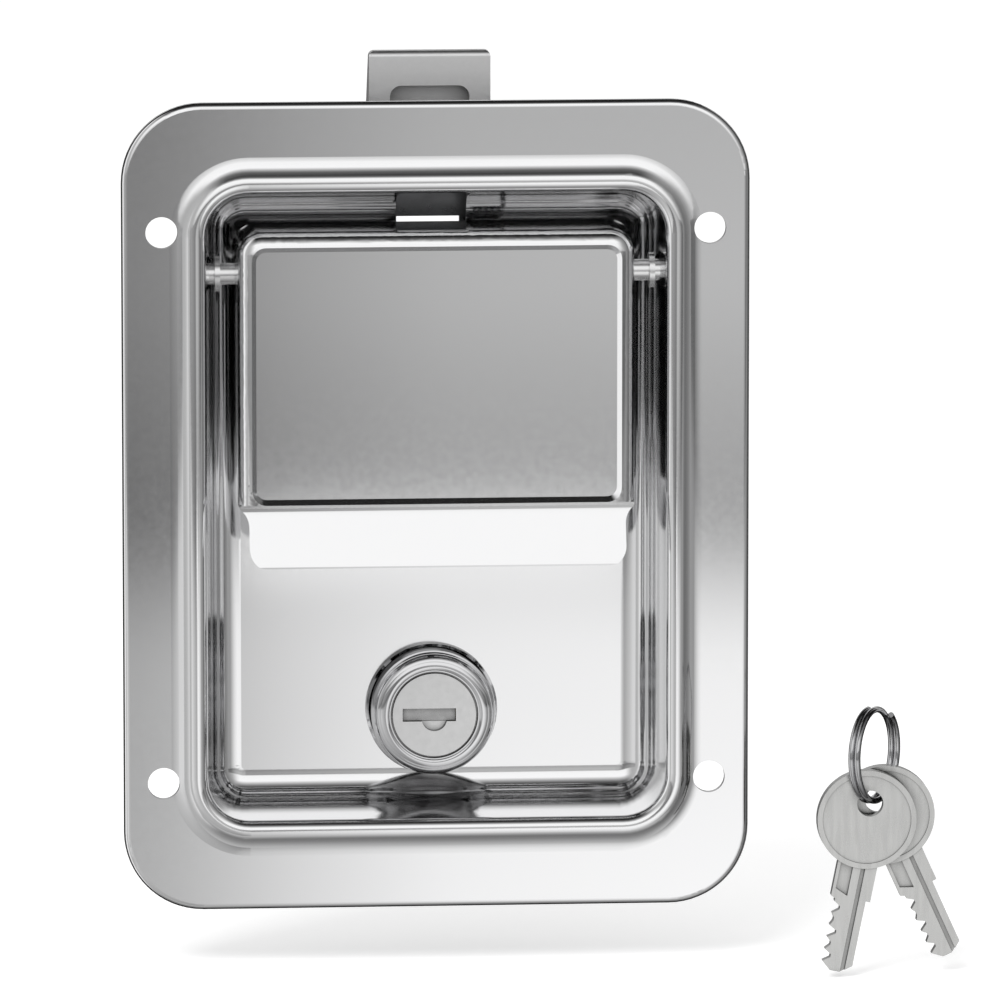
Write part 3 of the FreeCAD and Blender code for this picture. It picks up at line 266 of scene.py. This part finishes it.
def make_bezel():
    """The lock's chromed shoulder: an elliptical roll from the plug's rim to the barrel's side."""
    outline = [(BEZEL_HOLE, BEZEL_FRONT + BEZEL_EDGE), (BEZEL_HOLE + BEZEL_EDGE, BEZEL_FRONT)]
    reach = BEZEL_SIDE - BEZEL_CROWN
    for step in range(BEZEL_STEPS + 1):
        angle = math.radians(90) * step / BEZEL_STEPS
        outline.append((BEZEL_CROWN + reach * math.sin(angle),
                        BEZEL_FRONT + BEZEL_DEPTH * (1 - math.cos(angle))))
    mesh = bpy.data.meshes.new("lock_bezel")
    places = []
    for turn in range(BEZEL_TURNS):
        angle = math.tau * turn / BEZEL_TURNS
        places += [(r * math.cos(angle), y, LOCK_Z + r * math.sin(angle)) for r, y in outline]
    count = len(outline)
    faces = []
    for turn in range(BEZEL_TURNS):
        here, there = turn * count, (turn + 1) % BEZEL_TURNS * count
        faces += [(here + k, there + k, there + k + 1, here + k + 1) for k in range(count - 1)]
    mesh.from_pydata(places, [], faces)
    for face in mesh.polygons:
        face.use_smooth = True
    piece = add_piece("lock_bezel", mesh)
    dress(piece, CHROME)
    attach(piece, "latch_frame")


def make_bolt_spring():
    """The bolt's spring, as a copy of its own held by the latch's frame."""
    piece = add_piece("bolt_spring_dressed", NODES["bolt_spring"].data.copy())
    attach(piece, "latch_frame")
    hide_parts("bolt_spring")
    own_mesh(piece)


make_paddle()
make_bezel()
make_bolt_spring()


# View

# The camera's distance from the plate, its height and side, and the picture's size of a pixel there.
DISTANCE = 2.0
ELEVATION = math.radians(8.5)
AZIMUTH = math.radians(-4.5)
PIXELS = 1000
PIXEL = 0.1752 * MM
# Where the plate's centre falls, in pixels from the left and the top.
PLATE_AT = (436, 505)
SENSOR = 36.0
PLATE_HALF = (55 * MM, 71.3 * MM)


# Studio

FLOOR_Z = cad_box[0][2] - 1 * MM
FLOOR_HALF = 3
FLOOR_COLOUR = (0.96, 0.96, 0.96, 1)
FLOOR_GLOW = 0.30
WHITE = (1, 1, 1, 1)
# The front card and the strip that lights the lip: from left to right, and from low to high.
CARD_Y = -0.40
CARD_X = (-0.6, 0.7)
CARD_Z = (-0.5, 0.05)
STRIP_X = (-0.012, 0.075)
STRIP_Z = (-0.080, -0.061)
# The world's light on what isn't metal.
SOFT_LIGHT = 0.75
# The sideways share of a direction over which the bands around X give way to those to the sides.
SIDE_BANDS = (0.3, 0.75)
LAMP_PLACE = (-0.5, -0.9, 0.9)
LAMP_SIZE = 0.6
LAMP_POWER = 9
# The power that makes light of a tone in the rendered picture.
TONE_POWER = 2.2
# Tones of the front card across and up, against the place of the plate's point that mirrors it.
# Places are shares of half the plate, so -1 is the left or lower edge.
CARD_REACH = 6.0
ACROSS = [(-6.0, 0.85), (-2.5, 0.74), (-1.0, 0.67), (-0.5, 0.86), (0.0, 0.97), (1.0, 1.0), (2.5, 0.92),
          (6.0, 0.6)]
UPWARD = [(-6.0, 0.75), (-2.5, 0.95), (-1.0, 1.03), (-0.6, 1.0), (-0.36, 1.0), (-0.2, 0.86), (-0.12, 0.72),
          (-0.05, 0.63), (0.05, 0.64), (0.3, 0.70), (0.55, 0.76), (1.0, 0.72), (6.0, 0.9)]
# Tones round the object as metal sees it: degrees round X from the front, up being positive.
OVER = [(-180, 0.5), (-150, 0.12), (-110, 0.14), (-92, 0.42), (-60, 0.66), (-25, 0.92), (-2, 0.78), (12, 1.0),
        (38, 1.02), (60, 0.40), (75, 0.16), (138, 0.12), (152, 0.95), (180, 0.5)]
# The same to the sides: degrees from the front, the right being positive.
AROUND = [(-180, 0.5), (-150, 0.16), (-108, 0.2), (-94, 0.95), (-80, 1.0), (-66, 0.72), (-25, 0.66),
          (12, 0.9), (45, 0.70), (85, 0.40), (98, 0.36), (106, 0.12), (125, 0.12), (130, 0.8), (134, 0.8),
          (140, 0.12), (180, 0.5)]


def grey_ramp(nodes, stops, low, high):
    """A ramp node of greys, with its stops given between low and high."""
    ramp = nodes.new("ShaderNodeValToRGB")
    points = ramp.color_ramp.elements
    while len(points) < len(stops):
        points.new(0.5)
    top = max(grey for _, grey in stops)
    for point, (place, grey) in zip(points, stops):
        point.position = (place - low) / (high - low)
        point.color = (grey / top, grey / top, grey / top, 1)
    return ramp, top


def calculate(nodes, links, operation, first, second=None):
    """A maths node's result. An input is a socket or a number."""
    node = nodes.new("ShaderNodeMath")
    node.operation = operation
    for socket, source in zip(node.inputs, (first, second)):
        if isinstance(source, (int, float)):
            socket.default_value = source
        elif source is not None:
            links.new(source, socket)
    return node.outputs["Value"]


def shade_by(nodes, links, value, stops, low, high):
    """The grey that the stops give for a value between low and high, as a number."""
    scaled = nodes.new("ShaderNodeMapRange")
    scaled.inputs["From Min"].default_value = low
    scaled.inputs["From Max"].default_value = high
    links.new(value, scaled.inputs["Value"])
    ramp, top = grey_ramp(nodes, stops, low, high)
    links.new(scaled.outputs["Result"], ramp.inputs["Fac"])
    tone = calculate(nodes, links, "MULTIPLY", ramp.outputs["Color"], top)
    return calculate(nodes, links, "POWER", tone, TONE_POWER)


def floor_material():
    """A white floor that shows as the background, with the object's shadow on it."""
    material, nodes, links = new_material("floor_white")
    shader = nodes["Principled BSDF"]
    shader.inputs["Base Color"].default_value = FLOOR_COLOUR
    shader.inputs["Roughness"].default_value = 0.9
    shader.inputs["Specular IOR Level"].default_value = 0.0
    shader.inputs["Emission Color"].default_value = WHITE
    rays = nodes.new("ShaderNodeLightPath")
    seen = rays.outputs["Is Camera Ray"]
    for kind in ("Is Transmission Ray", "Is Glossy Ray"):
        seen = calculate(nodes, links, "ADD", seen, rays.outputs[kind])
    seen = calculate(nodes, links, "MINIMUM", seen, 1.0)
    glow = calculate(nodes, links, "MULTIPLY", seen, FLOOR_GLOW)
    links.new(glow, shader.inputs["Emission Strength"])
    return material


def sheet(name, corners, material):
    """A four-cornered sheet of the studio."""
    mesh = bpy.data.meshes.new(name)
    mesh.from_pydata([Vector(c) for c in corners], [], [(0, 1, 2, 3)])
    mesh.materials.append(material)
    thing = add_piece(name, mesh)
    return thing


def card(name, across, y, up, material):
    """An upright sheet that shows in metal, and neither lights nor shades nor meets the camera."""
    left, right = across
    low, high = up
    thing = sheet(name, [(left, y, low), (right, y, low), (right, y, high), (left, y, high)], material)
    thing.visible_camera = False
    thing.visible_diffuse = False
    thing.visible_shadow = False
    thing.visible_transmission = False
    thing.visible_volume_scatter = False


def card_material():
    """The front card: its grey at a place is the tone of the plate's point that mirrors it."""
    material, nodes, links = new_material("front_card")
    nodes.clear()
    output = nodes.new("ShaderNodeOutputMaterial")
    glow = nodes.new("ShaderNodeEmission")
    place = nodes.new("ShaderNodeTexCoord")
    split = nodes.new("ShaderNodeSeparateXYZ")
    links.new(place.outputs["Object"], split.inputs["Vector"])
    levels = []
    reach = -CARD_Y / (DISTANCE * math.cos(ELEVATION) * math.cos(AZIMUTH))
    for socket, camera_at, half, stops in (
            ("X", DISTANCE * math.sin(AZIMUTH) * math.cos(ELEVATION), PLATE_HALF[0], ACROSS),
            ("Z", DISTANCE * math.sin(ELEVATION), PLATE_HALF[1], UPWARD)):
        shifted = calculate(nodes, links, "ADD", split.outputs[socket], camera_at * reach)
        share = calculate(nodes, links, "DIVIDE", shifted, (1 + reach) * half)
        levels.append(shade_by(nodes, links, share, stops, -CARD_REACH, CARD_REACH))
    level = calculate(nodes, links, "MULTIPLY", levels[0], levels[1])
    links.new(level, glow.inputs["Strength"])
    links.new(glow.outputs["Emission"], output.inputs["Surface"])
    return material


def strip_material():
    """A white light strip."""
    material, nodes, links = new_material("lip_strip")
    nodes.clear()
    output = nodes.new("ShaderNodeOutputMaterial")
    glow = nodes.new("ShaderNodeEmission")
    links.new(glow.outputs["Emission"], output.inputs["Surface"])
    return material


def make_studio():
    """The floor, the card that the flat faces mirror, and the strip that the lip mirrors."""
    far = FLOOR_HALF
    corners = [(-far, -far, FLOOR_Z), (far, -far, FLOOR_Z), (far, far, FLOOR_Z), (-far, far, FLOOR_Z)]
    floor = sheet("floor", corners, floor_material())
    floor.visible_glossy = False
    card("front_card", CARD_X, CARD_Y, CARD_Z, card_material())
    card("lip_strip", STRIP_X, CARD_Y + MM, STRIP_Z, strip_material())


def make_world():
    """White for the camera, soft light for what isn't metal, and the bands that metal mirrors."""
    world = bpy.data.worlds.new("studio")
    world.use_nodes = True
    scene.world = world
    nodes = world.node_tree.nodes
    links = world.node_tree.links
    nodes.clear()
    output = nodes.new("ShaderNodeOutputWorld")
    light = nodes.new("ShaderNodeBackground")
    light.inputs["Color"].default_value = WHITE
    place = nodes.new("ShaderNodeTexCoord")
    split = nodes.new("ShaderNodeSeparateXYZ")
    links.new(place.outputs["Generated"], split.inputs["Vector"])
    forward = calculate(nodes, links, "MULTIPLY", split.outputs["Y"], -1.0)
    tilt = calculate(nodes, links, "ARCTAN2", split.outputs["Z"], forward)
    turn = calculate(nodes, links, "ARCTAN2", split.outputs["X"], forward)
    levels = []
    for angle, stops in ((tilt, OVER), (turn, AROUND)):
        degrees = calculate(nodes, links, "MULTIPLY", angle, 180 / math.pi)
        levels.append(shade_by(nodes, links, degrees, stops, -180, 180))
    aside = nodes.new("ShaderNodeMapRange")
    aside.interpolation_type = "SMOOTHSTEP"
    aside.inputs["From Min"].default_value = SIDE_BANDS[0]
    aside.inputs["From Max"].default_value = SIDE_BANDS[1]
    links.new(calculate(nodes, links, "ABSOLUTE", split.outputs["X"]), aside.inputs["Value"])
    bands = nodes.new("ShaderNodeMix")
    links.new(aside.outputs["Result"], bands.inputs["Factor"])
    links.new(levels[0], bands.inputs["A"])
    links.new(levels[1], bands.inputs["B"])
    rays = nodes.new("ShaderNodeLightPath")
    metal_sees = nodes.new("ShaderNodeMix")
    metal_sees.inputs["A"].default_value = SOFT_LIGHT
    links.new(rays.outputs["Is Glossy Ray"], metal_sees.inputs["Factor"])
    links.new(bands.outputs["Result"], metal_sees.inputs["B"])
    seen = nodes.new("ShaderNodeMix")
    seen.inputs["B"].default_value = 1.0
    links.new(rays.outputs["Is Camera Ray"], seen.inputs["Factor"])
    links.new(metal_sees.outputs["Result"], seen.inputs["A"])
    links.new(seen.outputs["Result"], light.inputs["Strength"])
    links.new(light.outputs["Background"], output.inputs["Surface"])


def make_lamp(name, place, target, size, power):
    """A soft square lamp aimed at a point."""
    lamp = bpy.data.lights.new(name, "AREA")
    lamp.shape = "SQUARE"
    lamp.size = size
    lamp.energy = power
    thing = bpy.data.objects.new(name, lamp)
    thing.location = place
    thing.rotation_euler = (Vector(target) - Vector(place)).to_track_quat("-Z", "Y").to_euler()
    thing.visible_glossy = False
    scene.collection.objects.link(thing)


# Camera

def make_camera():
    """A long lens, a little above and left of the latch, with the plate's centre at its place."""
    data = bpy.data.cameras.new("camera")
    data.sensor_width = SENSOR
    data.lens = SENSOR * DISTANCE / (PIXELS * PIXEL)
    camera = bpy.data.objects.new("camera", data)
    back = Vector((math.sin(AZIMUTH) * math.cos(ELEVATION), -math.cos(AZIMUTH) * math.cos(ELEVATION),
                   math.sin(ELEVATION)))
    turn = (-back).to_track_quat("-Z", "Y")
    right = turn @ Vector((1, 0, 0))
    up = turn @ Vector((0, 1, 0))
    half = PIXELS / 2
    target = right * (half - PLATE_AT[0]) * PIXEL + up * (PLATE_AT[1] - half) * PIXEL
    camera.location = target + back * DISTANCE
    camera.rotation_euler = turn.to_euler()
    scene.collection.objects.link(camera)
    scene.camera = camera


make_studio()
make_world()
make_lamp("key_lamp", LAMP_PLACE, (0, 0, 0), LAMP_SIZE, LAMP_POWER)
make_camera()
scene.view_settings.view_transform = "Standard"
